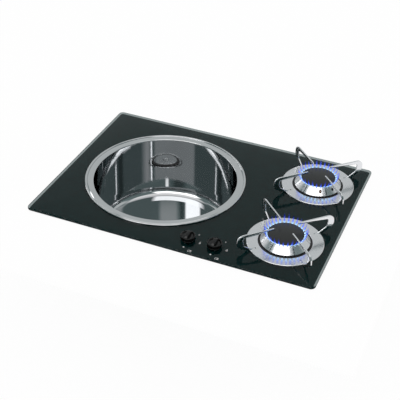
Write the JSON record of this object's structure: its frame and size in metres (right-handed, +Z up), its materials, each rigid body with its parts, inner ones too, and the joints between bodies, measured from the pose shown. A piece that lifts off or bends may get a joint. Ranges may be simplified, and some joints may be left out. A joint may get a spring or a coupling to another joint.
{
  "type": "hob and sink unit",
  "caption": "Built-in glass top with a round steel sink bowl beside gas burners, lift-off pan supports and push-and-turn control knobs.",
  "frame": {"origin": "centre of the glass top in plan, on the worktop's top plane, at the mouth of the cut-out", "axes": "+X right along the long side, towards the burners; +Y to the back; +Z up"},
  "size_m": [0.6, 0.42, 0.2223],
  "materials": {
    "arm_chrome": "bright chromed steel blade",
    "black_rubber": "matt rubber",
    "bowl_steel": "mirror-polished stainless steel",
    "brass": "turned brass",
    "cap_enamel": "gloss black vitreous enamel on steel",
    "cast_aluminium": "as-cast aluminium",
    "crown_aluminium": "satin turned aluminium",
    "enamelled_glass": "clear glass, black behind, polished edge",
    "foam_seal": "closed-cell foam strip",
    "grey_silicone": "silicone bead",
    "knob_plastic": "gloss black heat-proof plastic",
    "pipe_aluminium": "drawn tube",
    "plate_steel": "satin stainless steel",
    "plated_steel": "zinc-plated steel fastener",
    "pressed_steel": "plain pressed stainless or zinc-plated steel",
    "sensor_copper": "copper lead with steel tip",
    "waste_plastic": "white polypropylene",
    "waste_steel": "polished stainless steel"
  },
  "bodies": {
    "unit": {"bonding_seals": "grey_silicone", "bowl_hoop": "pressed_steel", "burner_seals": "black_rubber", "front_burner_bridge": "pressed_steel", "front_burner_cup": "cast_aluminium", "front_burner_pipe": "pipe_aluminium", "front_flame_sensor": "sensor_copper", "front_jet_holder": "cast_aluminium", "gas_rail": "pipe_aluminium", "glass_top": "enamelled_glass", "hob_tray": "pressed_steel", "holder_nuts": "plated_steel", "inlet_elbow": "brass", "jack_screws": "plated_steel", "jets": "brass", "knob_bezels": "black_rubber", "left_tap_body": "brass", "lower_gasket": "black_rubber", "pan_head_screws": "plated_steel", "pipe_nuts": "brass", "rail_clamps": "pressed_steel", "rear_burner_bridge": "pressed_steel", "rear_burner_cup": "cast_aluminium", "rear_burner_pipe": "pipe_aluminium", "rear_flame_sensor": "sensor_copper", "rear_jet_holder": "cast_aluminium", "right_tap_body": "brass", "rim_seal": "grey_silicone", "side_rail": "pressed_steel", "sink_bowl": "bowl_steel", "tap_bracket": "pressed_steel", "tap_screws": "plated_steel", "waste_body": "waste_plastic", "waste_flange": "waste_steel", "waste_gasket": "black_rubber", "waste_screw": "plated_steel", "worktop_clips": "pressed_steel", "worktop_seal": "foam_seal"},
    "left_push": {"left_push_pin": "brass"},
    "right_push": {"right_push_pin": "brass"},
    "left_control": {"left_spindle": "plated_steel", "left_knob": "knob_plastic"},
    "right_control": {"right_spindle": "plated_steel", "right_knob": "knob_plastic"},
    "front_pan_support": {"front_pan_plate": "plate_steel", "front_pan_arm_1": "arm_chrome", "front_pan_arm_2": "arm_chrome", "front_pan_arm_3": "arm_chrome", "front_pan_arm_4": "arm_chrome"},
    "front_burner_head": {"front_burner_crown": "crown_aluminium", "front_burner_cap": "cap_enamel"},
    "rear_pan_support": {"rear_pan_plate": "plate_steel", "rear_pan_arm_1": "arm_chrome", "rear_pan_arm_2": "arm_chrome", "rear_pan_arm_3": "arm_chrome", "rear_pan_arm_4": "arm_chrome"},
    "rear_burner_head": {"rear_burner_crown": "crown_aluminium", "rear_burner_cap": "cap_enamel"},
    "sink_plug": {"plug_seal": "black_rubber", "plug_top": "waste_steel"}
  },
  "joints": [
    {"name": "left_knob_push", "type": "slide", "parent": "unit", "child": "left_push", "axis": [0, 0, -1], "range_m": [0, 0.003], "stiffness_N_per_m": 1000, "springref_m": -0.002},
    {"name": "left_knob_turn", "type": "hinge", "parent": "left_push", "child": "left_control", "pos_m": [0.035, -0.171, 0], "axis": [0, 0, 1], "range_deg": [0, 155]},
    {"name": "right_knob_push", "type": "slide", "parent": "unit", "child": "right_push", "axis": [0, 0, -1], "range_m": [0, 0.003], "stiffness_N_per_m": 1000, "springref_m": -0.002},
    {"name": "right_knob_turn", "type": "hinge", "parent": "right_push", "child": "right_control", "pos_m": [0.09, -0.171, 0], "axis": [0, 0, 1], "range_deg": [0, 155]},
    {"name": "front_pan_support_lift", "type": "slide", "parent": "unit", "child": "front_pan_support", "axis": [0, 0, 1], "range_m": [0, 0.08]},
    {"name": "front_burner_head_lift", "type": "slide", "parent": "unit", "child": "front_burner_head", "axis": [0, 0, 1], "range_m": [0, 0.012]},
    {"name": "rear_pan_support_lift", "type": "slide", "parent": "unit", "child": "rear_pan_support", "axis": [0, 0, 1], "range_m": [0, 0.08]},
    {"name": "rear_burner_head_lift", "type": "slide", "parent": "unit", "child": "rear_burner_head", "axis": [0, 0, 1], "range_m": [0, 0.012]},
    {"name": "sink_plug_lift", "type": "slide", "parent": "unit", "child": "sink_plug", "axis": [0, 0, 1], "range_m": [0, 0.16]}
  ]
}
